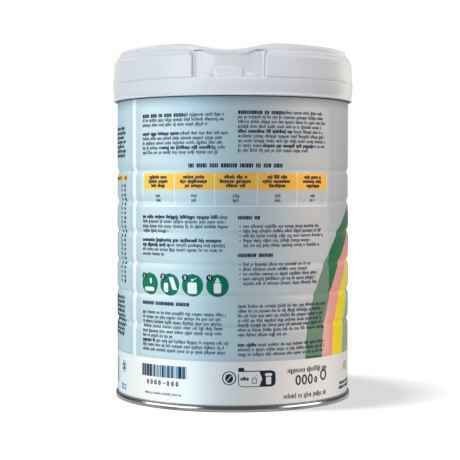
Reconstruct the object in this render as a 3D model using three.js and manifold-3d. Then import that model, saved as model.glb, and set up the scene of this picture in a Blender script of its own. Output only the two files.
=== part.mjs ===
// A round food tin with a plastic flip-top lid, shut: a beaded steel body, its seamed bottom end,
// the lid's snap-on collar with its catch, and the flip top with its lifting tab.
// Millimetres, +z up. The tin stands on z = 0, its axis is the z axis and the lid's tab faces -y.

import * as THREE from 'three';
import { mergeVertices } from 'three/addons/utils/BufferGeometryUtils.js';
import Module from 'manifold-3d';

// Tin body
const BODY_RADIUS = 63.5;
const BODY_TOP = 168;
const NECK_RADIUS = 63;
const NECK_HEIGHT = 2;
const BEAD_COUNT = 6;
const LOWEST_BEAD = 42.9;
const BEAD_PITCH = 16.05;
const BEAD_WIDTH = 5;
const BEAD_DEPTH = 0.95;

// Bottom end: a double seam round a recessed panel
const SEAM_RADIUS = 64.9;
const SEAM_HEIGHT = 3.4;
const SEAM_WALL = 3.1;
const PANEL_RECESS = 2.5;

// Lid
const LID_BASE = 160.6;
const PARTING = 170.1;
const LID_TOP = 188;
const LID_RADIUS = 65.9;
const SKIRT_BORE = BODY_RADIUS + 0.3;
const DRUM_RADIUS = 62.25;
const WALL_TOP = 181.4;
const TOP_PANEL = 184.2;
const LID_TURN = THREE.MathUtils.degToRad(-2.1);

// Dip in the lid's rim, over the tab
const DIP_DEPTH = 3.6;
const DIP_HALF_WIDTH = 31;

// Window in the flip top's wall. Widths in the lid's front are arcs along its wall.
const WINDOW_HALF_WIDTH = 19;
const WINDOW_TOP = 183.9;
const WINDOW_FLOOR = 60.9;
const WINDOW_CORNER = 5;

// Lifting tab: a lip under the dip whose two ends run up into the rim
const TAB_HALF_WIDTH = 9;
const TAB_END = 14.5;
const TAB_UNDERSIDE = 181.9;
const TAB_RISE = 2.2;
const TAB_RADIUS = 64.9;
const TAB_LIP = 0.7;
const COVE_HEIGHT = 1.3;
const TAB_THINNING = 0.8;

// Tongue of the collar, seen through the window, with its catch and two low lugs
const TONGUE_RADIUS = 62.8;
const TONGUE_CORNER = 4;
const CATCH_HALF_WIDTH = 7.1;
const CATCH_TOP = 175.5;
const CATCH_RADIUS = 64.5;
const CATCH_CORNER = 2;
const LUG_NEAR = 9.6;
const LUG_FAR = 14.2;
const LUG_TOP = 172.2;
const LUG_RADIUS = 64.2;

// Clear distance between touching pieces, and the facets round each turned piece
const GAP = 0.3;
const FACETS = 72;
const LID_FACETS = 120;
const ARC_STEP = 1.3;
const MERGE_TOLERANCE = 1e-4;

const wasm = await Module();
wasm.setup();

/** A solid turned about the z axis, from a profile of [radius, height] that starts and ends on the axis. */
function turned(profile, facets) {
  const points = profile.map(([radius, height]) => new THREE.Vector2(radius, height));
  return new THREE.LatheGeometry(points, facets).rotateX(Math.PI / 2);
}

/** The same closed geometry with shared vertices, as a solid that can be joined and cut. */
function toSolid(geometry) {
  const bare = geometry.clone();
  bare.deleteAttribute('normal');
  bare.deleteAttribute('uv');
  const merged = mergeVertices(bare, MERGE_TOLERANCE);
  const corners = merged.index.array;
  const triangles = [];
  for (let first = 0; first < corners.length; first += 3) {
    const [a, b, c] = corners.slice(first, first + 3);
    if (a !== b && b !== c && c !== a) triangles.push(a, b, c);
  }
  return new wasm.Manifold(new wasm.Mesh({
    numProp: 3,
    vertProperties: Float32Array.from(merged.attributes.position.array),
    triVerts: Uint32Array.from(triangles),
  }));
}

function toGeometry(solid) {
  const mesh = solid.getMesh();
  const geometry = new THREE.BufferGeometry();
  geometry.setAttribute('position', new THREE.BufferAttribute(mesh.vertProperties, mesh.numProp));
  geometry.setIndex(new THREE.BufferAttribute(mesh.triVerts, 1));
  geometry.computeVertexNormals();
  return geometry;
}

/** Arcs from one to another along the lid's front, in equal steps. */
function arcs(from, to) {
  const count = Math.ceil((to - from) / ARC_STEP);
  return Array.from({ length: count + 1 }, (_, step) => THREE.MathUtils.lerp(from, to, step / count));
}

/**
 * A solid swept round the lid's axis through the given arcs. outlineAt(arc) is a section of
 * [radius, height], anticlockwise, with as many corners at every arc.
 */
function sweptRound(stations, outlineAt) {
  const positions = [];
  const triangles = [];
  const sections = stations.map(outlineAt);
  const corners = sections[0].length;
  stations.forEach((arc, station) => {
    const angle = LID_TURN + arc / LID_RADIUS;
    for (const [radius, height] of sections[station]) {
      positions.push(radius * Math.sin(angle), -radius * Math.cos(angle), height);
    }
  });
  for (let station = 0; station < stations.length - 1; station += 1) {
    for (let corner = 0; corner < corners; corner += 1) {
      const a = station * corners + corner;
      const b = station * corners + (corner + 1) % corners;
      triangles.push(a, a + corners, b + corners, a, b + corners, b);
    }
  }
  const last = (stations.length - 1) * corners;
  const flat = (section) => section.map(([radius, height]) => new THREE.Vector2(radius, height));
  for (const [a, b, c] of THREE.ShapeUtils.triangulateShape(flat(sections[0]), [])) {
    triangles.push(a, b, c);
  }
  for (const [a, b, c] of THREE.ShapeUtils.triangulateShape(flat(sections.at(-1)), [])) {
    triangles.push(last + c, last + b, last + a);
  }
  const geometry = new THREE.BufferGeometry();
  geometry.setAttribute('position', new THREE.Float32BufferAttribute(positions, 3));
  geometry.setIndex(triangles);
  return toSolid(geometry);
}

/** A section between two radii and two heights. */
function block(inner, outer, low, high) {
  return [[inner, low], [outer, low], [outer, high], [inner, high]];
}

/** Height of a rounded corner: level up to the corner's start, then a quarter circle down to the edge. */
function roundedTop(distance, edge, top, corner) {
  const past = Math.max(0, distance - (edge - corner));
  return top - corner + Math.sqrt(Math.max(0, corner ** 2 - past ** 2));
}

/** Height of the tab's underside at an arc from its middle. */
function tabUnderside(arc) {
  const along = THREE.MathUtils.clamp((Math.abs(arc) - TAB_HALF_WIDTH) / (TAB_END - TAB_HALF_WIDTH), 0, 1);
  return TAB_UNDERSIDE + TAB_RISE * along;
}

/** One inward bead of the body: half a cosine wave deep, seen in section. */
function bead(middle) {
  return [-1, -0.5, 0, 0.5, 1].map((along) => [
    BODY_RADIUS - BEAD_DEPTH * (1 + Math.cos(Math.PI * along)) / 2,
    middle + along * BEAD_WIDTH / 2,
  ]);
}

function tinBody() {
  const base = SEAM_HEIGHT + GAP;
  const beads = [];
  for (let row = 0; row < BEAD_COUNT; row += 1) {
    beads.push(...bead(LOWEST_BEAD + row * BEAD_PITCH));
  }
  const profile = [
    [0, base],
    [NECK_RADIUS, base],
    [BODY_RADIUS, base + NECK_HEIGHT],
    ...beads,
    [BODY_RADIUS, BODY_TOP],
    [0, BODY_TOP],
  ];
  return turned(profile, FACETS);
}

function bottomEnd() {
  const profile = [
    [0, PANEL_RECESS],
    [SEAM_RADIUS - SEAM_WALL - 1, PANEL_RECESS],
    [SEAM_RADIUS - SEAM_WALL - 0.3, 0.5],
    [SEAM_RADIUS - SEAM_WALL + 0.3, 0],
    [SEAM_RADIUS - 0.8, 0],
    [SEAM_RADIUS - 0.2, 0.3],
    [SEAM_RADIUS, 0.9],
    [SEAM_RADIUS, 2.1],
    [SEAM_RADIUS - 0.4, 2.9],
    [SEAM_RADIUS - 1.2, SEAM_HEIGHT],
    [0, SEAM_HEIGHT],
  ];
  return turned(profile, FACETS);
}

/** The collar's turned part: a slightly barrelled skirt with a lip below, and the deck that joins it. */
function collarRing() {
  const deck = BODY_TOP + GAP;
  const profile = [
    [0, deck],
    [SKIRT_BORE, deck],
    [SKIRT_BORE, LID_BASE + 0.3],
    [SKIRT_BORE + 0.4, LID_BASE],
    [LID_RADIUS - 0.9, LID_BASE],
    [LID_RADIUS - 0.5, LID_BASE + 0.5],
    [LID_RADIUS - 0.4, LID_BASE + 1.7],
    [LID_RADIUS - 0.1, LID_BASE + 5],
    [LID_RADIUS, LID_BASE + 8],
    [LID_RADIUS - 0.1, PARTING - 0.6],
    [LID_RADIUS - 0.6, PARTING],
    [0, PARTING],
  ];
  return toSolid(turned(profile, FACETS));
}

/** The tongue that stands in the window, rounded at its top corners and clear of the tab above it. */
function tongue() {
  const edge = WINDOW_HALF_WIDTH - 2 * GAP;
  const inner = WINDOW_FLOOR + GAP;
  const root = PARTING - 1;
  return sweptRound(arcs(-edge, edge), (arc) => {
    const corner = roundedTop(Math.abs(arc), edge, WINDOW_TOP - GAP, TONGUE_CORNER);
    return block(inner, TONGUE_RADIUS, root, Math.min(corner, tabUnderside(arc) - GAP));
  });
}

function catchBlock() {
  return sweptRound(arcs(-CATCH_HALF_WIDTH, CATCH_HALF_WIDTH), (arc) => {
    const top = roundedTop(Math.abs(arc), CATCH_HALF_WIDTH, CATCH_TOP, CATCH_CORNER);
    return block(TONGUE_RADIUS - 1, CATCH_RADIUS, PARTING - 1, top);
  });
}

function lug(side) {
  const [from, to] = [side * LUG_NEAR, side * LUG_FAR].sort((a, b) => a - b);
  return sweptRound(arcs(from, to), () => block(TONGUE_RADIUS - 1, LUG_RADIUS, PARTING - 1, LUG_TOP));
}

function lidCollar() {
  return toGeometry([tongue(), catchBlock(), lug(-1), lug(1)].reduce((all, piece) => all.add(piece), collarRing()));
}

/** The flip top before its window is cut: wall, rounded shoulder, rim and the panel inside the rim. */
function flipTopBlank() {
  const base = PARTING + GAP;
  const geometry = turned([
    [0, base],
    [LID_RADIUS - 0.5, base],
    [LID_RADIUS - 0.1, base + 0.5],
    [LID_RADIUS - 0.25, base + 4.6],
    [LID_RADIUS - 0.6, WALL_TOP - 1.2],
    [LID_RADIUS - 0.75, WALL_TOP],
    [LID_RADIUS - 1.7, WALL_TOP + 1.1],
    [LID_RADIUS - 2.4, WALL_TOP + 2.6],
    [DRUM_RADIUS, WALL_TOP + 3.3],
    [DRUM_RADIUS - 0.1, LID_TOP - 1.6],
    [DRUM_RADIUS - 0.8, LID_TOP - 0.5],
    [DRUM_RADIUS - 2, LID_TOP],
    [DRUM_RADIUS - 3.3, LID_TOP - 0.6],
    [DRUM_RADIUS - 4, TOP_PANEL + 0.7],
    [DRUM_RADIUS - 4.8, TOP_PANEL],
    [0, TOP_PANEL],
  ], LID_FACETS);
  lowerRim(geometry.attributes.position);
  return toSolid(geometry);
}

/** Brings the rim down over the tab, along a cosine, by flattening all that stands over the top panel. */
function lowerRim(positions) {
  for (let vertex = 0; vertex < positions.count; vertex += 1) {
    const height = positions.getZ(vertex) - TOP_PANEL;
    const arc = (Math.atan2(positions.getX(vertex), -positions.getY(vertex)) - LID_TURN) * LID_RADIUS;
    if (height > 0 && Math.abs(arc) < DIP_HALF_WIDTH) {
      const dip = DIP_DEPTH * (1 + Math.cos(Math.PI * arc / DIP_HALF_WIDTH)) / 2;
      positions.setZ(vertex, TOP_PANEL + height * (1 - dip / (LID_TOP - TOP_PANEL)));
    }
  }
}

/** What the window takes out: a deep slot for the tongue, and the wall's rounded corners beside it. */
function windowCut() {
  const outside = LID_RADIUS + 3;
  const below = PARTING - 2;
  const slot = sweptRound(arcs(-WINDOW_HALF_WIDTH, WINDOW_HALF_WIDTH), () => (
    block(WINDOW_FLOOR, outside, below, WINDOW_TOP)
  ));
  const cornerEnd = WINDOW_HALF_WIDTH + WINDOW_CORNER;
  const shoulder = WALL_TOP + 1.2;
  const fade = 4;
  const over = WALL_TOP + 4.2;
  const reach = cornerEnd + fade;
  const step = sweptRound(arcs(-reach, reach), (arc) => {
    const distance = Math.abs(arc);
    const inside = Math.max(0, cornerEnd - Math.max(distance, WINDOW_HALF_WIDTH));
    const corner = shoulder - WINDOW_CORNER + Math.sqrt(WINDOW_CORNER ** 2 - inside ** 2);
    const past = Math.max(0, distance - cornerEnd) / fade;
    return block(DRUM_RADIUS, outside, THREE.MathUtils.lerp(corner, over - 0.2, past), over);
  });
  return slot.add(step);
}

/** The lifting tab: a lip with a hollow thumb rest above it, thinning out towards both ends. */
function tab() {
  const root = WINDOW_FLOOR - 1;
  return sweptRound(arcs(-TAB_END, TAB_END), (arc) => {
    const low = tabUnderside(arc);
    const along = (low - TAB_UNDERSIDE) / TAB_RISE;
    const radius = THREE.MathUtils.lerp(TAB_RADIUS, DRUM_RADIUS + 0.1, along ** 2);
    const lip = TAB_LIP * (1 - TAB_THINNING * along);
    const cove = COVE_HEIGHT * (1 - TAB_THINNING * along);
    return [
      [root, low],
      [radius, low],
      [radius, low + lip],
      [THREE.MathUtils.lerp(radius, DRUM_RADIUS, 0.7), low + lip + cove * 0.3],
      [DRUM_RADIUS - 0.2, low + lip + cove],
      [root, low + lip + cove],
    ];
  });
}

function lidTop() {
  return toGeometry(flipTopBlank().subtract(windowCut()).add(tab()));
}

function plastic() {
  return new THREE.MeshStandardMaterial({ color: '#dfe4ec', roughness: 0.35, metalness: 0 });
}

function printedSteel() {
  return new THREE.MeshStandardMaterial({ color: '#b4cdda', roughness: 0.35, metalness: 0.1 });
}

function bareSteel() {
  return new THREE.MeshStandardMaterial({ color: '#a9abad', roughness: 0.25, metalness: 1 });
}

function named(name, geometry, material) {
  const mesh = new THREE.Mesh(geometry, material);
  mesh.name = name;
  return mesh;
}

const tin = new THREE.Group();
tin.add(named('tin_body', tinBody(), printedSteel()));
tin.add(named('bottom_end', bottomEnd(), bareSteel()));
tin.add(named('lid_collar', lidCollar(), plastic()));
tin.add(named('lid_top', lidTop(), plastic()));

export default tin;
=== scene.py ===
# A shut round tin of milk powder with a plastic flip-top lid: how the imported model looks.
# The tin's axis is z and its small-print side faces -y. Sizes are in millimetres unless a name
# says otherwise, and "arc" is a distance along the wall, from the front line to the right.

import math
import random

import bpy
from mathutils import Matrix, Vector

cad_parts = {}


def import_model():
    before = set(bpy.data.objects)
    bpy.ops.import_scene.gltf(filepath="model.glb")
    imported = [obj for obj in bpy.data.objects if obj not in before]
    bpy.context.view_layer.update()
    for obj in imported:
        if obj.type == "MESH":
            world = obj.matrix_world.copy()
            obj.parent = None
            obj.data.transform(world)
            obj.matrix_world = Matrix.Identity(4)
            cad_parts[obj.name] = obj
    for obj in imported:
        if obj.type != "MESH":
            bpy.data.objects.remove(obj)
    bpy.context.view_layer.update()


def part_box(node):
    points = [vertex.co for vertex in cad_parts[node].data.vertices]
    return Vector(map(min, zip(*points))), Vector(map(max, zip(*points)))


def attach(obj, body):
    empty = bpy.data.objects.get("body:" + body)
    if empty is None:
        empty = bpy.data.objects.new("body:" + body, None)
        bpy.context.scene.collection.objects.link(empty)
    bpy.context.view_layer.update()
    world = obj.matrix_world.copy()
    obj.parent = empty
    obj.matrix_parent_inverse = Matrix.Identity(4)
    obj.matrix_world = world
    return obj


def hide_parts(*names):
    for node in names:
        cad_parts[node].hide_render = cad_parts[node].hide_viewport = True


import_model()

MM = 0.001


def cad_size(node):
    """Lowest height, highest height and largest radius of a CAD node."""
    low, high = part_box(node)
    return low.z / MM, high.z / MM, high.x / MM


_, BODY_TOP, BODY_RADIUS = cad_size("tin_body")
END_FOOT, END_TOP, END_RADIUS = cad_size("bottom_end")
LID_BASE, TONGUE_TOP, LID_RADIUS = cad_size("lid_collar")
FLIP_BASE, LID_TOP, FLIP_RADIUS = cad_size("lid_top")

# Body: beads rolled inwards, each with a crease in its middle, and a groove under the lid
BEAD_COUNT = 6
LOWEST_BEAD = 42.9
BEAD_PITCH = 16.05
BEAD_REACH = 3.4
BEAD_DEPTH = 0.95
BEAD_STEPS = (0, 0.06, 0.16, 0.3, 0.45, 0.62, 0.8, 1)
CREASE_SOFTNESS = 0.04
NECK_HEIGHT = 1.2
NECK_INSET = 0.35
SEAM_TOP = END_TOP - 0.5
SEAM_BULGE = 1.2
SEAM_ROUNDNESS = 0.5
SEAM_STEPS = 20
SEAM_EDGE = END_RADIUS - 0.45
GROOVE_FOOT = LID_BASE - 0.1
GROOVE_SLOPE = 0.7
GROOVE_DEPTH = 0.85
BODY_COLUMNS = 288

# Print on the body
LABEL_FOOT = 25.65
PANEL = (-54.7, 58.6, 27, 155.6)
SIDE_PANEL = (-124, -65.6, 27, 155.6)
PANEL_CORNER = 3
DIVIDER = (-62.4, -59.2)
ARCH_ARC = 127.7
ARCH_RADII = (33, 43.2, 52.6, 65.4, 75.1, 87.6)
ARCH_STRETCH = 1.02
EDGE_SOFTNESS = 0.08
VEIL = 0.17
# Painted shade: the print is painted darker by this share at the lid's lip, fading out over SHADE_REACH
# millimetres below it
LID_SHADE = 0.4
SHADE_REACH = 4.3

# Ink: thin patches that stand on the wall
INK_LIFT = 0.05
INK_ROOT = 0.08
INK_STEP = 2.2
LINE_PITCH = 2.42

# Lid
GAP = 0.02
LID_TURN = math.radians(-2.1)
PARTING = FLIP_BASE - 0.3
FLIP_FOOT = PARTING + GAP
TOP_PANEL = 184.2
WALL_TOP = 181.4
SHOULDER_TOP = 184.75
DRUM_RADIUS = 62.25
DIP_DEPTH = 3.6
DIP_HALF_WIDTH = 31
WINDOW_HALF_WIDTH = 19
WINDOW_FLOOR = 60.9
WINDOW_CORNER = 5
SIDE_SHARE = 0.16
TAB_HALF_WIDTH = 9
TAB_END = 14.5
TAB_UNDERSIDE = 181.9
TAB_RISE = 2.2
TAB_RADIUS = 64.9
TAB_LIP = 0.7
TAB_COVE = 1.3
TAB_THINNING = 0.8
TONGUE_RADIUS = 63.5
TONGUE_BACK = 61.2
TONGUE_LEAN = 1.3
LEAN_RISE = 11.5
TONGUE_FILLET = 0.8
FILLET_WIDTH = 1.7
TONGUE_HALF_WIDTH = 18.94
TONGUE_CORNER = 0.3


# Meshes

def make_piece(name, points, faces, material, sharp=35, replaced=()):
    """A piece of the object from points in millimetres, riding on the tin."""
    mesh = bpy.data.meshes.new(name)
    mesh.from_pydata([(x * MM, y * MM, z * MM) for x, y, z in points], [], faces)
    mesh.materials.append(material)
    mesh.shade_smooth()
    mesh.set_sharp_from_angle(angle=math.radians(sharp))
    piece = bpy.data.objects.new(name, mesh)
    bpy.context.scene.collection.objects.link(piece)
    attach(piece, "root")
    if replaced:
        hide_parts(*replaced)
    return piece


def on_wall(radius, angle, height):
    return radius * math.sin(angle), -radius * math.cos(angle), height


def turned(angles, section_at):
    """
    Points and faces of a solid turned about z. section_at(angle) lists (radius, height) from the
    axis, out along the underside, up the outside and back in to the axis.
    """
    points = []
    faces = []
    sections = [section_at(angle) for angle in angles]
    rows = len(sections[0])
    foot = sections[0][0][1]
    head = sections[0][-1][1]
    for angle, section in zip(angles, sections):
        points += [on_wall(radius, angle, height) for radius, height in section[1:-1]]
    points += [(0, 0, foot), (0, 0, head)]
    low_pole = len(points) - 2
    high_pole = len(points) - 1
    inner = rows - 2
    for column in range(len(angles)):
        here = column * inner
        there = (column + 1) % len(angles) * inner
        faces.append((low_pole, there, here))
        for row in range(inner - 1):
            faces.append((here + row, there + row, there + row + 1, here + row + 1))
        faces.append((here + inner - 1, there + inner - 1, high_pole))
    return points, faces


def even_angles(count):
    return [2 * math.pi * step / count for step in range(count)]


def lerp(start, end, share):
    return start + (end - start) * share


def clamp(value, low=0.0, high=1.0):
    return max(low, min(high, value))


def smooth(share):
    share = clamp(share)
    return share * share * (3 - 2 * share)


def along_points(points, value):
    """Height of a broken line through (x, y) points at x = value."""
    for (x0, y0), (x1, y1) in zip(points, points[1:]):
        if value <= x1:
            return lerp(y0, y1, clamp((value - x0) / (x1 - x0)))
    return points[-1][1]


# Body and bottom end

def bead_middles():
    return [LOWEST_BEAD + row * BEAD_PITCH for row in range(BEAD_COUNT)]


def bead_heights():
    """Heights of the wall's rows in the beads, closer together towards each crease."""
    shares = [-step for step in reversed(BEAD_STEPS[1:])] + list(BEAD_STEPS)
    return [middle + share * BEAD_REACH for middle in bead_middles() for share in shares]


def wall_radius(height):
    """Radius of the body's wall at a height."""
    radius = BODY_RADIUS
    for middle in bead_middles():
        share = abs(height - middle) / BEAD_REACH
        if share < 1:
            share = math.hypot(share, CREASE_SOFTNESS)
            radius -= BEAD_DEPTH * (1 - math.sin(math.pi / 2 * min(1, share)))
    if height < SEAM_TOP + NECK_HEIGHT:
        up = clamp((height - SEAM_TOP) / NECK_HEIGHT)
        radius -= NECK_INSET * (1 - math.sin(math.pi / 2 * up))
    return radius - GROOVE_DEPTH * clamp((height - GROOVE_FOOT) / GROOVE_SLOPE)


def body_piece(material):
    neck = [SEAM_TOP + NECK_HEIGHT * step / 5 for step in range(6)]
    heights = neck + bead_heights() + [GROOVE_FOOT, GROOVE_FOOT + GROOVE_SLOPE, BODY_TOP]
    wall = [(wall_radius(height), height) for height in heights]
    section = [(0, SEAM_TOP)] + wall + [(0, BODY_TOP)]
    points, faces = turned(even_angles(BODY_COLUMNS), lambda angle: section)
    return make_piece("printed_body", points, faces, material, 50, ["tin_body"])


def end_piece(material):
    """The bottom end: a rolled double seam round a recessed panel with two stiffening rings."""
    panel = 2.5
    ring = 0.6
    section = [(0, panel)]
    for radius in (38, 54):
        section += [
            (radius - 2.6, panel),
            (radius - 1.6, panel - ring * 0.5),
            (radius - 0.8, panel - ring),
            (radius + 0.8, panel - ring),
            (radius + 1.6, panel - ring * 0.5),
            (radius + 2.6, panel),
        ]
    wall = END_RADIUS - 3.1
    section += [(wall - 1.4, panel), (wall - 0.9, panel - 0.25), (wall - 0.6, panel - 0.9)]
    section += [(wall - 0.4, 0.8), (wall - 0.1, 0.25), (wall + 0.4, 0.03), (wall + 0.9, END_FOOT)]
    half = (SEAM_TOP - END_FOOT) / 2
    middle = SEAM_EDGE - SEAM_BULGE
    for step in range(SEAM_STEPS + 1):
        turn = math.pi * (step / SEAM_STEPS - 0.5)
        bulge = SEAM_BULGE * math.cos(turn) ** SEAM_ROUNDNESS
        section.append((middle + bulge, END_FOOT + half * (1 + math.sin(turn))))
    section.append((0, SEAM_TOP))
    points, faces = turned(even_angles(BODY_COLUMNS), lambda angle: section)
    return make_piece("seamed_end", points, faces, material, 50, ["bottom_end"])


# Lid

def arc_of(angle):
    """Arc from the lid's own front line, along its wall."""
    turn = (angle - LID_TURN + math.pi) % (2 * math.pi) - math.pi
    return turn * LID_RADIUS


def lid_angles(edge, offsets):
    """Angles for the lid's columns: close together in front, and closest at the edge of an opening."""
    front = 35
    step = 0.45
    back_step = 2.4
    arcs = {0.0}
    count = round(front / step)
    evenly = (step * index for index in range(1, count + 1))
    arcs.update(arc for arc in evenly if abs(arc - edge) > step * 0.7)
    arcs.update(edge + offset for offset in offsets)
    half_way = math.pi * LID_RADIUS
    backs = round((half_way - front) / back_step)
    arcs.update(lerp(front, half_way, index / backs) for index in range(1, backs))
    right = sorted(arcs)
    left = [-arc for arc in reversed(right[1:])]
    return [LID_TURN + arc / LID_RADIUS for arc in left + right + [half_way]]


def rim_drop(arc, height):
    """Height of a point of the rim, which dips over the tab."""
    if abs(arc) > DIP_HALF_WIDTH or height < TOP_PANEL:
        return height
    dip = DIP_DEPTH * (1 + math.cos(math.pi * arc / DIP_HALF_WIDTH)) / 2
    return TOP_PANEL + (height - TOP_PANEL) * (1 - dip / (LID_TOP - TOP_PANEL))


def tab_rise(arc):
    """From 0 along the tab's middle to 1 where its ends run out into the rim."""
    return clamp((abs(arc) - TAB_HALF_WIDTH) / (TAB_END - TAB_HALF_WIDTH))


def plain_wall(height):
    """Radius of the flip top's drafted wall."""
    return lerp(FLIP_RADIUS, WALL_TOP_RADIUS, (height - FLIP_FOOT - 0.3) / (WALL_TOP - FLIP_FOOT - 0.3))


WALL_TOP_RADIUS = LID_RADIUS - 0.75

# How far the shoulder has come in, by the distance still to go to its edge
SHOULDER = (
    (0, 2.9), (0.1, 2.2), (0.35, 1.7), (0.75, 1.35), (1.5, 1.08), (2.15, 0.95), (2.35, 0.85),
    (3.1, 0.15), (3.35, 0.02), (3.6, 0),
)


def pad_radius(arc, height):
    """Radius of the flip top's wall: a pad with a stepped edge, rounded at the window's corners."""
    corner = WINDOW_HALF_WIDTH + WINDOW_CORNER
    centre = SHOULDER_TOP - WINDOW_CORNER
    inside = max(0, corner - abs(arc))
    above = height - centre
    if above > 0:
        reach = math.hypot(inside, above)
        share = lerp(1, SIDE_SHARE, (inside / reach) ** 2)
        distance = (WINDOW_CORNER - reach) / share
    elif inside > 0:
        distance = (WINDOW_CORNER - inside) / SIDE_SHARE
    else:
        distance = WINDOW_CORNER
    return plain_wall(min(height, WALL_TOP)) - along_points(SHOULDER, max(0, distance))


def pad_top(arc):
    """Height of the pad's edge at an arc."""
    inside = max(0, WINDOW_HALF_WIDTH + WINDOW_CORNER - abs(arc))
    return SHOULDER_TOP - WINDOW_CORNER + math.sqrt(max(0, WINDOW_CORNER ** 2 - inside ** 2))


# Sections of the flip top. The wall's are shares of its height, closer together at the shoulder.
# The others pair the distance in from the wall or drum with a height, or a height to add.
WALL_STEPS = (
    0, 0.1, 0.2, 0.3, 0.4, 0.5, 0.58, 0.66, 0.72, 0.755, 0.775, 0.79, 0.81, 0.83, 0.845, 0.86,
    0.89, 0.92, 0.945, 0.965, 0.98, 0.99, 1,
)
BASE_EDGE = ((0.6, 0), (0.16, 0.01), (0.05, 0.06), (0, 0.18))
RIM = (
    (0, 185), (0.03, 185.7), (0.1, 186.4), (0.3, 187.05), (0.75, 187.6), (1.35, 187.9), (2, 188),
    (2.65, 187.85), (3.15, 187.45), (3.5, 186.8), (3.75, 185.9), (3.95, 185.1), (4.2, 184.6),
    (4.7, 184.3),
)
TOP_RINGS = (
    (5.6, 0), (19.5, 0), (20.1, 0.12), (20.6, 0.38), (21.2, 0.5), (40, 0.5), (40.6, 0.38),
    (41.1, 0.12), (41.7, 0),
)


def tab_rows(arc):
    """The tab in section: its underside, rounded lip and hollow thumb rest."""
    rise = tab_rise(arc)
    low = TAB_UNDERSIDE + TAB_RISE * rise
    radius = lerp(TAB_RADIUS, TONGUE_RADIUS + 0.05, rise ** 2)
    lip = TAB_LIP * (1 - TAB_THINNING * rise)
    cove = TAB_COVE * (1 - TAB_THINNING * rise)
    depth = radius - DRUM_RADIUS
    rows = [
        (lerp(WINDOW_FLOOR, radius, 0.5), low),
        (radius - lip * 0.4, low),
        (radius - lip * 0.1, low + lip * 0.12),
        (radius, low + lip * 0.4),
        (radius - lip * 0.05, low + lip * 0.7),
        (radius - min(depth, lip) * 0.35, low + lip),
    ]
    for step in range(1, 6):
        turn = math.pi / 2 * step / 5
        rows.append((
            DRUM_RADIUS + (depth - min(depth, lip) * 0.35) * (1 - math.sin(turn)),
            low + lip + cove * (1 - math.cos(turn)),
        ))
    return rows


def flip_top_section(angle):
    arc = arc_of(angle)
    in_window = abs(arc) < WINDOW_HALF_WIDTH
    start = FLIP_FOOT + BASE_EDGE[-1][1]
    top = TAB_UNDERSIDE + TAB_RISE * tab_rise(arc) if in_window else pad_top(arc)

    def radius_at(height):
        return WINDOW_FLOOR if in_window else pad_radius(arc, height)

    section = [(0, FLIP_FOOT)]
    section += [(radius_at(start) - inset, FLIP_FOOT + up) for inset, up in BASE_EDGE]
    for share in WALL_STEPS[1:]:
        height = lerp(start, top, share)
        section.append((radius_at(height), rim_drop(arc, height)))
    if in_window:
        section += tab_rows(arc)
    else:
        count = len(tab_rows(arc))
        for step in range(1, count + 1):
            height = lerp(top, RIM[0][1] - 0.05, step / count)
            section.append((DRUM_RADIUS, rim_drop(arc, height)))
    section += [(DRUM_RADIUS - inset, rim_drop(arc, height)) for inset, height in RIM]
    section += [(DRUM_RADIUS - inset, TOP_PANEL + up) for inset, up in TOP_RINGS]
    section.append((0, TOP_PANEL))
    return section


def flip_top_piece(material):
    offsets = (-0.02, 0.02, 0.06, 0.13, 0.24, 0.4, 0.62, 0.9, 1.2, 1.5, 1.9)
    points, faces = turned(lid_angles(WINDOW_HALF_WIDTH, offsets), flip_top_section)
    return make_piece("flip_top", points, faces, material, 40, ["lid_top"])


def boss(arc, height, left, right, top, corner, softness):
    """From 0 to 1: how much a soft-edged boss that stands on the deck is raised at a place."""
    middle = (left + right) / 2
    past = max(0, abs(arc - middle) - ((right - left) / 2 - corner))
    over = max(0, height - (top - corner))
    return smooth((corner - math.hypot(past, over)) / softness + 0.5)


def tongue_face(arc, height):
    """
    Radius of the tongue's face, with the catch, its ledge and two low lugs. It leans out under
    the tab and meets the window's sides in fillets.
    """
    catch = boss(arc, height, -7.1, 7.1, 175.5, 2, 0.7)
    ledge = boss(arc, height, -6.6, 6.6, 171.9, 0.5, 0.4)
    left_lug = boss(arc, height, -14.2, -9.6, 172.2, 0.9, 0.8)
    right_lug = boss(arc, height, 9.6, 14.2, 172.2, 0.9, 0.8)
    lean = TONGUE_LEAN * clamp((height - PARTING) / LEAN_RISE) * smooth(1.6 - abs(arc) / TAB_HALF_WIDTH)
    fillet = TONGUE_FILLET * smooth((abs(arc) - TONGUE_HALF_WIDTH + FILLET_WIDTH) / FILLET_WIDTH)
    return TONGUE_RADIUS + max(lean, fillet, 1.2 * catch + 0.25 * ledge, left_lug, right_lug)


def tongue_top(arc):
    past = max(0, abs(arc) - (TONGUE_HALF_WIDTH - TONGUE_CORNER))
    corner = TONGUE_TOP - TONGUE_CORNER + math.sqrt(max(0, TONGUE_CORNER ** 2 - past ** 2))
    return min(corner, TAB_UNDERSIDE + TAB_RISE * tab_rise(arc) - GAP)


# Sections of the collar: radius and height up its bore, round its lip and up its wall
COLLAR_BORE = ((63.3, 168.3), (63.7, 168.2), (63.8, 167.8), (63.8, 161.6), (63.87, 161.25), (64.1, 161.05))
COLLAR_LIP = (
    (64.5, 160.95), (65.0, 160.99), (65.38, 161.17), (65.55, 161.45), (65.56, 161.7), (65.4, 162),
    (65.16, 162.2), (65.06, 162.45),
)
COLLAR_WALL = (
    (65.2, 163.3), (65.42, 164.6), (65.62, 166), (65.78, 167.3), (65.87, 168.4), (65.9, 169.4),
    (65.88, 169.85), (65.82, 170), (65.66, 170.09), (65.1, 170.1),
)
TONGUE_ROWS = 40
TONGUE_EDGE = 0.2


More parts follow.
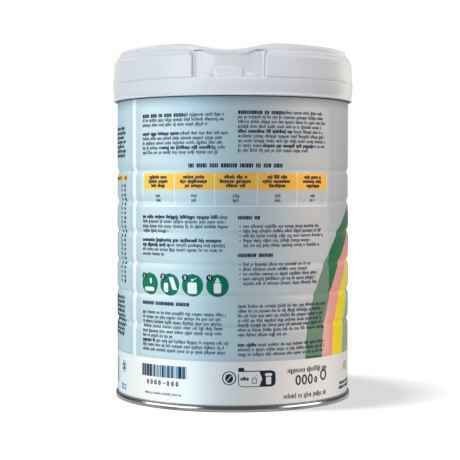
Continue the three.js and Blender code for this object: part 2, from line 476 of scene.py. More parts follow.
def tongue_rows(arc):
    """The tongue in section, up its face, over its top and down its back, or as much of the deck."""
    if abs(arc) > TONGUE_HALF_WIDTH:
        count = TONGUE_ROWS + 7
        return [(lerp(64.5, 60.5, (step + 1) / (count + 1)), PARTING) for step in range(count)]
    top = tongue_top(arc)
    edge = tongue_face(arc, top)
    rows = []
    for step in range(TONGUE_ROWS):
        height = lerp(PARTING, top - TONGUE_EDGE, step / (TONGUE_ROWS - 1))
        rows.append((tongue_face(arc, height), height))
    for step in range(1, 4):
        turn = math.pi / 2 * step / 3
        rows.append((
            edge - TONGUE_EDGE * (1 - math.cos(turn)),
            top - TONGUE_EDGE * (1 - math.sin(turn)),
        ))
    rows += [(TONGUE_BACK + 0.2, top), (TONGUE_BACK, top - 0.2), (TONGUE_BACK, lerp(PARTING, top, 0.5))]
    rows.append((TONGUE_BACK, PARTING))
    return rows


def collar_section(angle):
    arc = arc_of(angle)
    section = [(0, COLLAR_BORE[0][1])]
    section += COLLAR_BORE + COLLAR_LIP + COLLAR_WALL
    section += tongue_rows(arc)
    section.append((0, PARTING))
    return section


def collar_piece(material):
    offsets = (-0.9, -0.5, -0.25, -0.1, -0.02, 0.02, 0.3)
    points, faces = turned(lid_angles(TONGUE_HALF_WIDTH, offsets), collar_section)
    return make_piece("collar", points, faces, material, 40, ["lid_collar"])


# Ink

class Ink:
    """Print of one colour: thin closed patches that follow the body's wall, all in one piece."""

    rows_in_beads = bead_heights()

    def __init__(self, layer=0):
        self.points = []
        self.faces = []
        self.lift = INK_LIFT * (1 + layer)

    def patch(self, outline):
        """A patch from (height, left arc, right arc) rows, the lowest first."""
        widest = max(right - left for _, left, right in outline)
        columns = max(1, math.ceil(widest / INK_STEP))
        first = len(self.points)
        for lift in (self.lift, -INK_ROOT):
            for height, left, right in outline:
                radius = wall_radius(height) + lift
                for column in range(columns + 1):
                    arc = lerp(left, right, column / columns)
                    self.points.append(on_wall(radius, arc / BODY_RADIUS, height))
        across = columns + 1
        rows = len(outline)
        back = first + rows * across
        for row in range(rows - 1):
            for column in range(columns):
                a = row * across + column
                corners = (a, a + 1, a + 1 + across, a + across)
                self.faces.append(tuple(first + corner for corner in corners))
                self.faces.append(tuple(back + corner for corner in reversed(corners)))
            left = row * across
            right = left + columns
            self.faces.append((first + left, first + left + across, back + left + across, back + left))
            self.faces.append((first + right + across, first + right, back + right, back + right + across))
        top = (rows - 1) * across
        for column in range(columns):
            self.faces.append((first + column + 1, first + column, back + column, back + column + 1))
            above = top + column
            self.faces.append((first + above, first + above + 1, back + above + 1, back + above))

    def heights(self, low, high, steps=1):
        """Heights from low to high, in steps, with the bead rows between them."""
        found = [lerp(low, high, step / steps) for step in range(steps + 1)]
        nearest = min(0.1, (high - low) / steps * 0.1)
        for row in self.rows_in_beads:
            if low < row < high and min(abs(row - height) for height in found) > nearest:
                found.append(row)
        return sorted(found)

    def box(self, left, right, low, high):
        self.patch([(height, left, right) for height in self.heights(low, high)])

    def slanted(self, left, right, low, high, lean):
        """A bar whose top stands lean further right than its foot."""
        rows = []
        for height in self.heights(low, high):
            shift = lean * (height - low) / (high - low)
            rows.append((height, left + shift, right + shift))
        self.patch(rows)

    def round_box(self, left, right, low, high, corner):
        rows = []
        for height in self.heights(low, high, 12):
            into = max(0, corner - min(height - low, high - height))
            inset = corner - math.sqrt(max(0, corner ** 2 - into ** 2))
            rows.append((height, left + inset, right - inset))
        self.patch(rows)

    def disc(self, arc, height, radius, tall=1):
        """A disc, or an oval that is tall times as high as it is wide."""
        rows = []
        for place in self.heights(height - radius * tall, height + radius * tall, 16):
            up = clamp(abs(place - height) / (radius * tall), 0, 0.999)
            half = radius * math.sqrt(1 - up ** 2)
            rows.append((place, arc - half, arc + half))
        self.patch(rows)

    def ring(self, arc, height, radius, stroke, tall=1):
        """A ring or upright oval, as a left and a right half."""
        inner = radius - stroke
        for side in (-1, 1):
            rows = []
            for place in self.heights(height - radius * tall, height + radius * tall, 20):
                up = abs(place - height)
                outside = radius * math.sqrt(max(0.002, 1 - (up / (radius * tall)) ** 2))
                inner_high = radius * tall - stroke
                inside = inner * math.sqrt(max(0, 1 - (up / inner_high) ** 2))
                near, far = sorted((arc + side * inside, arc + side * outside))
                rows.append((place, near, far))
            self.patch(rows)

    def piece(self, name, material):
        return make_piece(name, self.points, self.faces, material, 50)


class Strokes:
    """
    Sizes of print that is shown as rows of upright strokes: their height, width and spacing.
    reach is how far the tallest ones rise, by the height of the rest.
    """

    def __init__(self, tall, wide, gap, reach=1.4):
        self.tall = tall
        self.wide = wide
        self.gap = gap
        self.reach = reach


REGULAR = Strokes(1.25, 0.29, 0.24)
BOLD = Strokes(1.35, 0.55, 0.16)
CAPITALS = Strokes(1.8, 0.66, 0.2, 1)
TITLE = Strokes(2.1, 0.7, 0.22, 1)
LIGHT = Strokes(1.9, 0.42, 0.4)
TINY = Strokes(0.95, 0.2, 0.25)
draws = random.Random(7)


def words(ink, strokes, left, right, middle):
    """Word-like groups of plain upright strokes from left to right. No group is a letter."""
    base = middle - strokes.tall / 2
    place = left
    while place < right:
        for _ in range(draws.randint(3, 12)):
            wide = strokes.wide * draws.choice((1, 1, 1, 1.7))
            if place + wide > right:
                return
            up = strokes.tall * draws.choice((1, 1, 1, 1, strokes.reach))
            down = strokes.tall * draws.choice((0, 0, 0, 0, 0, strokes.reach - 1))
            ink.box(place, place + wide, base - down, base + up)
            place += wide + strokes.gap
        place += strokes.tall * 0.6


def text_line(inks, left, right, middle, bold=(0, 0), heavy=BOLD):
    """A line of small print. bold is the share of it, from and to, that is heavier."""
    bold_ink, fine_ink = inks
    start, stop = (lerp(left, right, share) for share in bold)
    for ink, strokes, low, high in (
        (fine_ink, REGULAR, left, start),
        (bold_ink, heavy, start, stop),
        (fine_ink, REGULAR, stop, right),
    ):
        if high - low > 1:
            words(ink, strokes, low, high, middle)


def paragraph(inks, left, right, top, lines, last=1.0, bold=None, opening=BOLD):
    """Lines of small print. bold gives each line's heavier share by the line's number."""
    for line in range(lines):
        width = (right - left) * (last if line == lines - 1 else draws.uniform(0.93, 1))
        shares = (bold or {}).get(line, (0, 0))
        heavy = BOLD if line else opening
        text_line(inks, left, left + width, top - line * LINE_PITCH, shares, heavy)


LEFT_COLUMN = (-53, -2)
RIGHT_COLUMN = (2.5, 55)


def small_print(bold_ink, fine_ink):
    """The two columns of small print on the panel."""
    inks = (bold_ink, fine_ink)
    left = LEFT_COLUMN
    right = RIGHT_COLUMN
    paragraph(inks, *left, 151.3, 3, 0.8, {0: (0, 0.55)}, CAPITALS)
    paragraph(inks, *left, 141.9, 5, 0.9, {0: (0, 0.5), 3: (0.3, 0.85)})
    paragraph(inks, *right, 152.4, 9, 0.75, {0: (0, 0.48), 4: (0, 0.6), 7: (0.25, 0.85)}, CAPITALS)
    paragraph(inks, *left, 99.1, 4, 0.35, {0: (0, 0.9)})
    paragraph(inks, *left, 87.1, 4, 0.3, {0: (0, 1), 1: (0, 0.4)})
    paragraph(inks, *left, 49.5, 6, 0.4)
    paragraph(inks, *left, 35, 3, 0.97, {0: (0, 0.2)})
    paragraph(inks, *right, 53.8, 7, 0.5)
    paragraph(inks, *right, 34.1, 3, 0.96, {0: (0, 0.22)})
    words(bold_ink, CAPITALS, left[0], -22.6, 54.4)
    words(bold_ink, CAPITALS, right[0], 14.4, 99)
    words(bold_ink, CAPITALS, right[0], 21.2, 79.9)
    words(bold_ink, TITLE, -23.4, 26.8, 125.5)
    for top, lines in ((94.5, 5), (75.1, 5)):
        for line in range(lines):
            height = top - line * LINE_PITCH
            if line < lines - 1:
                bold_ink.disc(3.6, height, 0.35)
            text_line(inks, 5.2, lerp(38, 55, draws.random()), height)


TABLE_EDGES = (-52.2, -31.2, -9.4, 12.4, 34.6, 56)
TABLE_HEAD = (113.2, 121.7)
TABLE_FOOT = 104.8
RULE = 0.4


def table(amber_ink, white_ink, bold_ink, fine_ink):
    """The table across both columns: amber head cells, white rules and rows of short strokes."""
    low, high = TABLE_HEAD
    for left, right in zip(TABLE_EDGES, TABLE_EDGES[1:]):
        amber_ink.box(left + RULE / 2, right - RULE / 2, low, high)
        middle = (left + right) / 2
        for row, share in zip(range(3), (0.62, 0.76, 0.5)):
            half = (right - left) * share * draws.uniform(0.8, 1) / 2
            words(bold_ink, BOLD, middle - half, middle + half, high - 2.15 - row * 2.2)
        for row in range(2):
            words(fine_ink, REGULAR, middle - 1.6, middle + 1.6, 110 - row * 2.35)
    for edge in TABLE_EDGES:
        white_ink.box(edge - RULE / 2, edge + RULE / 2, TABLE_FOOT, high)
    white_ink.box(TABLE_EDGES[0], TABLE_EDGES[-1], TABLE_FOOT - RULE / 2, TABLE_FOOT + RULE / 2)


DISC_ARCS = (-47.6, -34.3, -21.1, -7.9)
DISC_HEIGHT = 64.4
DISC_RADIUS = 5.8


def bottle(ink, arc, height):
    ink.round_box(arc - 1.9, arc + 1.9, height - 3.9, height + 1.4, 0.8)
    ink.round_box(arc - 1.3, arc + 1.3, height + 1.7, height + 2.5, 0.3)
    ink.disc(arc, height + 3.2, 0.7)


def numeral(ink, number, arc, middle):
    """A plain number from 1 to 4 in straight strokes."""
    half, rise, stroke = 0.55, 0.95, 0.3
    left, right = arc - half, arc + half
    low, high = middle - rise, middle + rise
    if number == 1:
        ink.box(arc - stroke / 2, arc + stroke / 2, low, high)
        return
    crossings = (low, middle - stroke / 2, high - stroke)
    for foot in crossings[1:2] if number == 4 else crossings:
        ink.box(left, right, foot, foot + stroke)
    ink.box(right - stroke, right, middle if number == 2 else low, high)
    if number == 2:
        ink.box(left, left + stroke, low, middle)
    if number == 4:
        ink.box(left, left + stroke, middle, high)


def steps(green_ink, white_ink, bold_ink, top_ink):
    """Four numbered discs with plain pictures: a drop over a dish, two packs, an open tin, a bottle."""
    for number, arc in enumerate(DISC_ARCS):
        green_ink.disc(arc, DISC_HEIGHT, DISC_RADIUS)
        bold_ink.disc(arc - 4.1, DISC_HEIGHT + 3.9, 1.75)
        numeral(top_ink, number + 1, arc - 4.1, DISC_HEIGHT + 3.9)
    first, second, third, fourth = DISC_ARCS
    white_ink.disc(first + 0.9, DISC_HEIGHT + 1.6, 0.7, 2.2)
    white_ink.round_box(first - 3.6, first + 3.4, DISC_HEIGHT - 3.9, DISC_HEIGHT - 1.7, 1.1)
    white_ink.round_box(second - 3.4, second - 0.8, DISC_HEIGHT - 4, DISC_HEIGHT + 0.9, 0.8)
    white_ink.slanted(second + 2, second + 4.6, DISC_HEIGHT - 2.6, DISC_HEIGHT + 3.8, -2.4)
    white_ink.round_box(third - 2.6, third + 2.4, DISC_HEIGHT - 4.4, DISC_HEIGHT + 1.5, 0.7)
    white_ink.disc(third, DISC_HEIGHT + 2.7, 0.75, 0.7)
    white_ink.slanted(third + 0.5, third + 1, DISC_HEIGHT + 2.8, DISC_HEIGHT + 3.8, 1.4)
    bottle(white_ink, fourth, DISC_HEIGHT)


def bars(inks, left, right, low, high):
    """Upright bars of uneven width and tone."""
    place = left
    while place < right:
        width = min(draws.choice((0.4, 0.6, 0.9, 1.3, 1.8)), right - place)
        draws.choice(inks).box(place, place + width, low, high)
        place += width + draws.choice((0, 0.3, 0.5))


def nought(ink, arc, middle, tall, stroke):
    ink.ring(arc, middle, tall * 0.32, stroke, 1 / 0.64)


def pointed_box(ink, left, right, low, high, corner, point):
    """A box with a round corner at its lower left and a blunt point at its right."""
    rows = []
    for height in ink.heights(low, high, 12):
        into = max(0, corner - (height - low))
        inset = corner - math.sqrt(max(0, corner ** 2 - into ** 2))
        off_middle = abs(height - (low + high) / 2) / (high - low) * 2
        rows.append((height, left + inset, right + point * (1 - off_middle)))
    ink.patch(rows)


def frame_box(ink, left, right, low, high, stroke):
    """The outline of a box."""
    ink.box(left, left + stroke, low, high)
    ink.box(right - stroke, right, low, high)
    ink.box(left, right, low, low + stroke)
    ink.box(left, right, high - stroke, high)


def foot_band(bold_ink, fine_ink, top_ink, leaf_ink, bar_inks, over_ink):
    """Print on the white band: bars and rings, plain marks, large rings and short lines."""
    bars(bar_inks, -53.6, -24.3, 16.1, 22.4)
    for step in (0, 1, 2, 3, 5, 6, 7):
        nought(bold_ink, -49 + 2.75 * step, 13.2, 2.6, 0.62)
    bold_ink.box(-38.6, -37, 12.9, 13.4)
    words(fine_ink, TINY, -51.2, -26.8, 7.5)
    bold_ink.ring(-1.9, 17.3, 3.6, 0.55)
    bold_ink.disc(-1.9, 17.2, 2, 1.15)
    top_ink.slanted(-3.3, -2.8, 15.8, 18.6, 2.2)
    bold_ink.round_box(2.7, 22.3, 12.7, 21, 2.2)
    bold_ink.round_box(2.7, 5.8, 20.4, 22.6, 0.6)
    pointed_box(top_ink, 3.1, 13.6, 13.1, 20.5, 1.8, 1.5)
    words(over_ink, BOLD, 3.9, 8.4, 16.8)
    frame_box(over_ink, 9.8, 12.2, 14.4, 17.1, 0.3)
    over_ink.slanted(10.2, 10.6, 17.4, 18.9, 2.2)
    top_ink.round_box(16.6, 20.4, 18.2, 19.6, 0.6)
    top_ink.round_box(17.1, 19.9, 13.9, 17.8, 0.4)
    words(fine_ink, LIGHT, 29.2, 56.4, 20)
    for step in range(3):
        nought(bold_ink, 35.6 + 4 * step, 15, 5.4, 0.95)
    nought(bold_ink, 47.6, 14.4, 3.4, 0.8)
    bold_ink.ring(53.6, 16.3, 2.6, 1.05, 1.15)
    words(fine_ink, LIGHT, 26.9, 56.8, 6.8)
    leaf_ink.disc(80.5, 18.4, 3.4, 0.8)
    words(bold_ink, BOLD, 71, 92, 9.6)
    words(bold_ink, BOLD, 70, 94, 7.2)
    bold_ink.ring(-73.6, 18.5, 3.1, 0.3)
    words(fine_ink, BOLD, -75.4, -71.8, 19.6)
    words(fine_ink, BOLD, -75.4, -71.8, 17.4)
    fine_ink.box(-88.5, -86.3, 8.3, 22.2)
    words(bar_inks[-1], TINY, -78, -70.4, 8.4)
    words(bar_inks[-1], TINY, -78, -70.4, 6.6)


def side_print(amber_ink, fine_ink):
    """The panel next to the divider, most of it round the side."""
    left, right = SIDE_PANEL[0] + 4, SIDE_PANEL[1] - 4.6
    inks = (fine_ink, fine_ink)
    paragraph(inks, left, right, 145.8, 7, 0.97)
    amber_ink.box(left, right + 1.4, 117.6, 121.1)
    words(fine_ink, BOLD, left + 3, right - 6, 119.3)
    words(fine_ink, BOLD, right - 2.4, right + 0.6, 119.3)
    for row in range(22):
        height = 115.2 - row * LINE_PITCH
        text_line(inks, left, left + draws.uniform(16, 26), height)
        words(fine_ink, REGULAR, right - 8, right - 6, height)
        words(fine_ink, REGULAR, right - 3, right - 0.6, height)
    paragraph(inks, left, right, 55.2, 10, 0.5)


# Materials

def linear(red, green, blue):
    """Scene-linear colour of a display colour given from 0 to 255."""
    values = []
    for part in (red, green, blue):
        share = part / 255
        values.append(share / 12.92 if share <= 0.04045 else ((share + 0.055) / 1.055) ** 2.4)
    return (*values, 1)


SKY = (181, 206, 221)
# Painted light: the sky is painted greyer and warmer towards the right, standing in for the dimmer, warmer
# light on that side
SKY_IN_PAINTED_WARM_LIGHT = (186, 195, 205)
PAINTED_WARM_LIGHT_ARCS = (5, 45)
WHITE = (235, 239, 244)
ARCH_COLOURS = (
    (244, 232, 205),
    (240, 150, 45),
    (130, 192, 187),
    (250, 228, 4),
    (236, 168, 164),
    (36, 120, 80),
)
NAVY = (8, 10, 46)
FINE_NAVY = (16, 24, 62)
BAR_BLUE = (58, 100, 132)
PALE_BAR_BLUE = (120, 158, 182)
AMBER = (246, 194, 82)
DEEP_GREEN = (0, 118, 92)
LEAF = (176, 200, 172)
PLASTIC = (226, 230, 237)
STEEL = (136, 139, 139)


class Sums:
    """Sums on a surface's place, written with shader nodes. Lengths are in millimetres."""

    def __init__(self, tree):
        self.tree = tree
        place = self.node("ShaderNodeTexCoord").outputs["Object"]
        scaled = self.node("ShaderNodeVectorMath")
        scaled.operation = "SCALE"
        self.tree.links.new(place, scaled.inputs[0])
        scaled.inputs["Scale"].default_value = 1 / MM
        self.place = scaled.outputs[0]
        parts = self.node("ShaderNodeSeparateXYZ")
        self.tree.links.new(self.place, parts.inputs[0])
        self.x, self.y, self.z = parts.outputs

    def node(self, kind):
        return self.tree.nodes.new(kind)

    def put(self, value, socket):
        if isinstance(value, bpy.types.NodeSocket):
            self.tree.links.new(value, socket)
        else:
            socket.default_value = value

    def math(self, operation, *values, clamped=False):
        node = self.node("ShaderNodeMath")
        node.operation = operation
        node.use_clamp = clamped
        for value, socket in zip(values, node.inputs):
            self.put(value, socket)
        return node.outputs[0]

    def arc_from(self, start):
        """Arc round the body from a start arc, right round both ways."""
        turn = start / BODY_RADIUS
        across = self.math("ADD", self.math("MULTIPLY", self.x, math.cos(turn)),
                           self.math("MULTIPLY", self.y, math.sin(turn)))
        ahead = self.math("SUBTRACT", self.math("MULTIPLY", self.x, math.sin(turn)),
                          self.math("MULTIPLY", self.y, math.cos(turn)))
        return self.math("MULTIPLY", self.math("ARCTAN2", across, ahead), BODY_RADIUS)

    def length(self, a, b):
        squares = self.math("ADD", self.math("MULTIPLY", a, a), self.math("MULTIPLY", b, b))
        return self.math("SQRT", squares)

    def inside(self, distance):
        """1 where a distance to an edge is below zero, 0 where it is above."""
        return self.math("SUBTRACT", 0.5, self.math("DIVIDE", distance, EDGE_SOFTNESS), clamped=True)

    def box(self, across, left, right, low, high, corner):
        """1 inside a box with rounded corners."""
        beyond = []
        for value, start, stop in ((across, left, right), (self.z, low, high)):
            off = self.math("ABSOLUTE", self.math("SUBTRACT", value, (start + stop) / 2))
            past = self.math("SUBTRACT", off, (stop - start) / 2 - corner)
            beyond.append(self.math("MAXIMUM", past, 0.0))
        return self.inside(self.math("SUBTRACT", self.length(*beyond), corner))

    def mix(self, share, under, over):
        node = self.node("ShaderNodeMix")
        node.data_type = "RGBA"
        self.put(share, node.inputs[0])
        self.put(under, node.inputs[6])
        self.put(over, node.inputs[7])
        return node.outputs[2]

    def rings(self, value, edges, colours, beyond):
        """The colour of the first edge that value is below, or the colour beyond them all."""
        span = edges[-1] * 2
        ramp = self.node("ShaderNodeValToRGB")
        ramp.color_ramp.interpolation = "CONSTANT"
        ramp.color_ramp.elements.remove(ramp.color_ramp.elements[1])
        ramp.color_ramp.elements[0].color = linear(*colours[0])
        for start, colour in zip(edges, colours[1:]):
            ramp.color_ramp.elements.new(start / span).color = linear(*colour)
        self.put(self.math("DIVIDE", value, span), ramp.inputs[0])
        return self.mix(self.inside(self.math("SUBTRACT", value, edges[-1])), beyond, ramp.outputs[0])

    def noise(self, size, detail=2.0, stretch=(1, 1, 1)):
        """Noise from 0 to 1 with blotches of about size millimetres."""
        placed = self.node("ShaderNodeVectorMath")
        placed.operation = "MULTIPLY"
        self.tree.links.new(self.place, placed.inputs[0])
        placed.inputs[1].default_value = [1 / (size * part) for part in stretch]
        texture = self.node("ShaderNodeTexNoise")
        texture.inputs["Scale"].default_value = 1
        texture.inputs["Detail"].default_value = detail
        self.tree.links.new(placed.outputs[0], texture.inputs["Vector"])
        return texture.outputs[0]

    def range(self, value, low, high):
        """A value from 0 to 1 spread from low to high."""
        return self.math("ADD", self.math("MULTIPLY", value, high - low), low)

    def tinted(self, colour, value, spread):
        """A colour made lighter and darker by a value: noise, or the painted shade next to the lid."""
        node = self.node("ShaderNodeMix")
        node.data_type = "RGBA"
        node.blend_type = "MULTIPLY"
        node.inputs[0].default_value = 1
        self.put(colour, node.inputs[6])
        grey = self.node("ShaderNodeCombineColor")
        shade = self.range(value, 1 - spread, 1)
        for socket in grey.inputs:
            self.put(shade, socket)
        self.put(grey.outputs[0], node.inputs[7])
        return node.outputs[2]

    def bump(self, value, height):
        """A normal for relief that is height millimetres deep."""
        node = self.node("ShaderNodeBump")
        node.inputs["Distance"].default_value = height * MM
        node.inputs["Strength"].default_value = 1
        self.put(value, node.inputs["Height"])
        return node.outputs[0]


PRINT_METAL = 0.8


def new_material(name):
    material = bpy.data.materials.new(name)
    material.use_nodes = True
    shader = material.node_tree.nodes["Principled BSDF"]
    return material, shader, Sums(material.node_tree)


def lacquered(shader, sums, colour):
    """Print on bright tinplate under lacquer: the metal shines softly through its colour."""
    sums.put(sums.tinted(colour, sums.noise(9, 3), 0.02), shader.inputs["Base Color"])
    sums.put(sums.range(sums.noise(3, 4), 0.42, 0.5), shader.inputs["Roughness"])
    shader.inputs["Metallic"].default_value = PRINT_METAL
    shader.inputs["IOR"].default_value = 1.5
    shader.inputs["Specular Tint"].default_value = (0.6, 0.6, 0.6, 1)
    shader.inputs["Coat Weight"].default_value = 0.1
    shader.inputs["Coat Roughness"].default_value = 0.35
    sums.put(sums.bump(sums.noise(0.9, 2), 0.004), shader.inputs["Normal"])


def printed_steel():
    """The body's print: sky, arch, pale panels, white band and divider, with the sky painted greyer and
    warmer towards the right and painted shade darkening the print next to the lid.
    """
    material, shader, sums = new_material("printed_steel")
    across = sums.arc_from(0)
    above = sums.math("MULTIPLY", sums.math("SUBTRACT", sums.z, LABEL_FOOT), 1 / ARCH_STRETCH)
    from_arch = sums.length(sums.arc_from(ARCH_ARC), above)
    # Painted light: the sky shifts to a greyer, warmer blue between the two arcs, for the warmer light at
    # the right
    past_sky = sums.math("SUBTRACT", across, PAINTED_WARM_LIGHT_ARCS[0])
    painted_warm_light = sums.math("DIVIDE", past_sky, PAINTED_WARM_LIGHT_ARCS[1] - PAINTED_WARM_LIGHT_ARCS[0], clamped=True)
    sky = sums.mix(painted_warm_light, linear(*SKY), linear(*SKY_IN_PAINTED_WARM_LIGHT))
    picture = sums.rings(from_arch, ARCH_RADII, ARCH_COLOURS, sky)
    front_panel = sums.box(across, *PANEL, PANEL_CORNER)
    panels = sums.math("MAXIMUM", front_panel, sums.box(across, *SIDE_PANEL, PANEL_CORNER))
    divider = sums.box(across, *DIVIDER, 0, BODY_TOP, EDGE_SOFTNESS)
    band = sums.inside(sums.math("SUBTRACT", sums.z, LABEL_FOOT))
    printed = sums.mix(sums.math("MULTIPLY", panels, VEIL), picture, linear(*WHITE))
    colour = sums.mix(sums.math("MAXIMUM", divider, band), printed, linear(*WHITE))
    # Painted shade: the print darkens towards the lid's lip, where the lid shades the wall
    below_lid = sums.math("SUBTRACT", LID_BASE, sums.z)
    under_lid = sums.math("DIVIDE", below_lid, SHADE_REACH, clamped=True)
    lacquered(shader, sums, sums.tinted(colour, under_lid, LID_SHADE))
    return material


def ink_material(name, colour):
    """Ink that the metal shines through."""
    material, shader, sums = new_material(name)
    lacquered(shader, sums, linear(*colour))
    return material


def dark_ink_material(name, colour):
    """Dense ink that hides the metal and shines blue."""
    material, shader, sums = new_material(name)
    sums.put(sums.tinted(linear(*colour), sums.noise(9, 3), 0.05), shader.inputs["Base Color"])
    sums.put(sums.range(sums.noise(3, 4), 0.42, 0.5), shader.inputs["Roughness"])
    shader.inputs["IOR"].default_value = 1.6
    shader.inputs["Specular Tint"].default_value = (0.35, 0.6, 1, 1)
    return material


def tinplate():
    """Bare bright steel, with fine rolling marks."""
    material, shader, sums = new_material("tinplate")
    shader.inputs["Metallic"].default_value = 1
    marks = sums.noise(0.12, 3, (30, 30, 1))
    sums.put(sums.tinted(linear(*STEEL), sums.noise(6, 4), 0.12), shader.inputs["Base Color"])
    sums.put(sums.range(marks, 0.14, 0.26), shader.inputs["Roughness"])
    sums.put(sums.bump(marks, 0.004), shader.inputs["Normal"])
    return material


def lid_plastic():
    """Soft-gloss polypropylene with a faint cloudiness and a finely eroded mould finish."""
    material, shader, sums = new_material("lid_plastic")
    cloud = sums.noise(14, 3)
    sums.put(sums.tinted(linear(*PLASTIC), cloud, 0.04), shader.inputs["Base Color"])
    sums.put(sums.range(sums.noise(2.5, 4), 0.34, 0.46), shader.inputs["Roughness"])
    shader.inputs["IOR"].default_value = 1.49
    shader.inputs["Subsurface Weight"].default_value = 0.7
    shader.inputs["Subsurface Radius"].default_value = (1, 1, 1)
    shader.inputs["Subsurface Scale"].default_value = 2 * MM
    sums.put(sums.bump(sums.noise(0.5, 2), 0.006), shader.inputs["Normal"])
    return material


# Stage

def floor():
    """A plain pale floor that shows the tin's shadow."""
    mesh = bpy.data.meshes.new("floor")
    reach = 6
    corners = [(-reach, -reach, 0), (reach, -reach, 0), (reach, reach, 0), (-reach, reach, 0)]
    mesh.from_pydata(corners, [], [(0, 1, 2, 3)])
    material, shader, _ = new_material("floor")
    shader.inputs["Base Color"].default_value = (0.4, 0.4, 0.4, 1)
    shader.inputs["Roughness"].default_value = 0.9
    mesh.materials.append(material)
    ground = bpy.data.objects.new("floor", mesh)
    bpy.context.scene.collection.objects.link(ground)
    ground.is_shadow_catcher = True
    ground.visible_diffuse = False
    ground.visible_glossy = False
    ground.visible_shadow = False
    return ground


def world(ambient):
    """A white studio to the eye, and a dim even light on the tin."""
    sky = bpy.data.worlds.new("studio")
    sky.use_nodes = True
    tree = sky.node_tree
    background = tree.nodes["Background"]
    background.inputs["Color"].default_value = (*ambient, 1)
    white = tree.nodes.new("ShaderNodeBackground")
    white.inputs["Color"].default_value = (1, 1, 1, 1)
    white.inputs["Strength"].default_value = 1.02
    path = tree.nodes.new("ShaderNodeLightPath")
    mix = tree.nodes.new("ShaderNodeMixShader")
    tree.links.new(path.outputs["Is Camera Ray"], mix.inputs[0])
    tree.links.new(background.outputs[0], mix.inputs[1])
    tree.links.new(white.outputs[0], mix.inputs[2])
    tree.links.new(mix.outputs[0], tree.nodes["World Output"].inputs["Surface"])
    bpy.context.scene.world = sky


def softbox(name, azimuth, elevation, width, height, colour, power, lit, distance=1.6):
    """
    A soft light aimed at the tin's middle from a distance in metres. Azimuth 0 is the camera's
    side, negative to its left. It lights only the collection lit.
    """
    target = Vector((0, 0, 0.09))
    side, up = math.radians(azimuth), math.radians(elevation)
    way = Vector((math.sin(side) * math.cos(up), -math.cos(side) * math.cos(up), math.sin(up)))
    light = bpy.data.lights.new(name, "AREA")
    light.shape = "RECTANGLE"
    light.size = width
    light.size_y = height
    light.color = colour
    light.energy = power
    lamp = bpy.data.objects.new(name, light)
    lamp.location = target + way * distance
    lamp.rotation_euler = way.to_track_quat("Z", "Y").to_euler()
    bpy.context.scene.collection.objects.link(lamp)
    lamp.light_linking.receiver_collection = lit


def lit_together(name, pieces):
    collection = bpy.data.collections.new(name)
    for piece in pieces:
        collection.objects.link(piece)
    return collection


COOL = (0.82, 0.97, 1)
BLUISH = (0.68, 0.92, 1)
CREAM = (1, 0.98, 0.87)
WARM = (1, 0.83, 0.69)
WHITE_LIGHT = (1, 1, 1)

# The ring of tall softboxes for the tin: azimuth, watts above, watts below, colour
RING = (
    (-165, 1, 1, BLUISH),
    (-135, 3.6, 3.4, BLUISH),
    (-105, 5, 3, CREAM),
    (-75, 6.1, 3.8, CREAM),
    (-45, 4.1, 4.6, COOL),
    (-15, 1.7, 1.3, BLUISH),
    (15, 0.7, 0.9, CREAM),
    (45, 1.7, 2.3, WARM),
    (75, 4.7, 2.4, WARM),
    (105, 3, 3.2, WARM),
    (135, 3, 1.8, CREAM),
    (165, 2.2, 2.8, CREAM),
)

# The softboxes for the lid: azimuth, elevation, watts, colour
LID_LIGHTS = (
    (-150, 5, 1.6, WARM),
    (-150, 38, 4.5, CREAM),
    (-75, -25, 5.4, COOL),
    (-45, 5, 11.9, (0.96, 0.985, 1)),
    (-15, 38, 4, WHITE_LIGHT),
    (55, 5, 2.3, WHITE_LIGHT),
    (55, 38, 7, (1, 0.94, 0.88)),
    (90, 38, 1.5, WARM),
    (135, 5, 5, (1, 0.97, 0.72)),
    (135, 38, 2.5, CREAM),
)


def lights(tin, lid, end, ground):
    """Soft light all round: brighter at the left, with a dimmer, warmer second side at the right."""
    world((0.25, 0.25, 0.25))
    ring_width, ring_height, ring_rise = 0.85, 1.4, 24
    for azimuth, above, below, colour in RING:
        softbox("tin_above", azimuth, ring_rise, ring_width, ring_height, colour, above, tin)
        softbox("tin_below", azimuth, -ring_rise, ring_width, ring_height, colour, below, tin)
    lid_size = 0.8
    for azimuth, elevation, power, colour in LID_LIGHTS:
        softbox("lid_light", azimuth, elevation, lid_size, lid_size, colour, power, lid)
    softbox("end_left", -63, 7, 1.75, 1, (0.95, 0.98, 1), 38, end)
    softbox("end_right", 71, 7, 1.26, 1, (1, 0.97, 0.92), 25, end)
    softbox("end_low_left", -125, -32, 3, 1.2, WHITE_LIGHT, 9, end)
    softbox("end_low_front", 0, -42, 3.6, 1.2, WHITE_LIGHT, 11, end)
    softbox("end_low_right", 125, -32, 3, 1.2, WHITE_LIGHT, 8, end)
    softbox("end_below", 0, -88, 3, 3, WHITE_LIGHT, 28, end)
    high = 8
    softbox("ground_front", 0, 65, 0.4, 2, WHITE_LIGHT, 7500, ground, high)
    softbox("ground_left", -78, 76.8, 0.5, 1.4, WHITE_LIGHT, 3420, ground, high)


CAMERA_LENS = 104.05
CAMERA_PLACE = (-1.54, -737.3, 113.9)
LOOKING_DOWN = 1.795
CAMERA_ROLL = -0.05


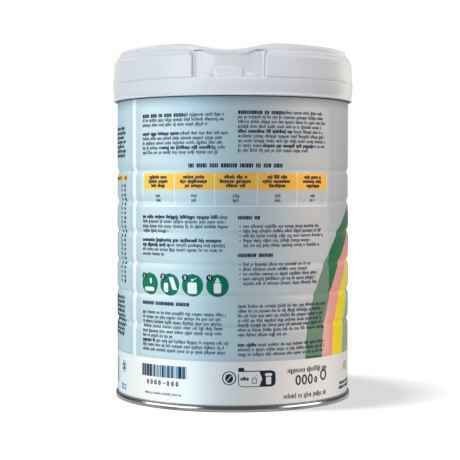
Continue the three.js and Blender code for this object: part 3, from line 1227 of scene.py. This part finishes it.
def camera():
    """The photograph's view: from the front, a little above the tin's middle."""
    lens = bpy.data.cameras.new("camera")
    lens.lens = CAMERA_LENS
    eye = bpy.data.objects.new("camera", lens)
    eye.location = [value * MM for value in CAMERA_PLACE]
    eye.rotation_euler = (math.radians(90 - LOOKING_DOWN), math.radians(CAMERA_ROLL), 0)
    bpy.context.scene.collection.objects.link(eye)
    bpy.context.scene.camera = eye


# The scene

camera()
ground = floor()
bpy.context.scene.view_settings.view_transform = "Standard"

plastic = lid_plastic()
lid_pieces = [collar_piece(plastic), flip_top_piece(plastic)]

bold = Ink()
fine = Ink()
amber = Ink()
rules = Ink()
green = Ink()
pictures = Ink(1)
figures = Ink(2)
leaf = Ink()
bold_over = Ink(1)
fine_over = Ink(1)
bold_top = Ink(2)
bar_blue = Ink()
pale_bar_blue = Ink()
small_print(bold, fine)
table(amber, rules, bold_over, fine)
steps(green, pictures, bold_over, figures)
foot_band(bold, fine, pictures, leaf, (fine, bar_blue, bar_blue, pale_bar_blue), bold_top)
side_print(amber, fine_over)

tin_pieces = [
    body_piece(printed_steel()),
    bold.piece("print_bold", dark_ink_material("ink_navy", NAVY)),
    fine.piece("print_fine", dark_ink_material("ink_fine_navy", FINE_NAVY)),
    bold_over.piece("print_over", dark_ink_material("ink_navy_over", NAVY)),
    bold_top.piece("print_top", dark_ink_material("ink_navy_top", NAVY)),
    fine_over.piece("print_side", dark_ink_material("ink_side", FINE_NAVY)),
    bar_blue.piece("bars_blue", ink_material("ink_bar_blue", BAR_BLUE)),
    pale_bar_blue.piece("bars_pale", ink_material("ink_pale_bar_blue", PALE_BAR_BLUE)),
    amber.piece("table_head", ink_material("ink_amber", AMBER)),
    rules.piece("table_rules", ink_material("ink_rules", WHITE)),
    green.piece("step_discs", ink_material("ink_green", DEEP_GREEN)),
    pictures.piece("step_pictures", ink_material("ink_white", WHITE)),
    figures.piece("step_figures", ink_material("ink_figures", WHITE)),
    leaf.piece("plain_leaf", ink_material("ink_leaf", LEAF)),
]
end = end_piece(tinplate())
lights(
    lit_together("lit_tin", tin_pieces),
    lit_together("lit_lid", lid_pieces),
    lit_together("lit_end", [end]),
    lit_together("lit_ground", [ground]),
)
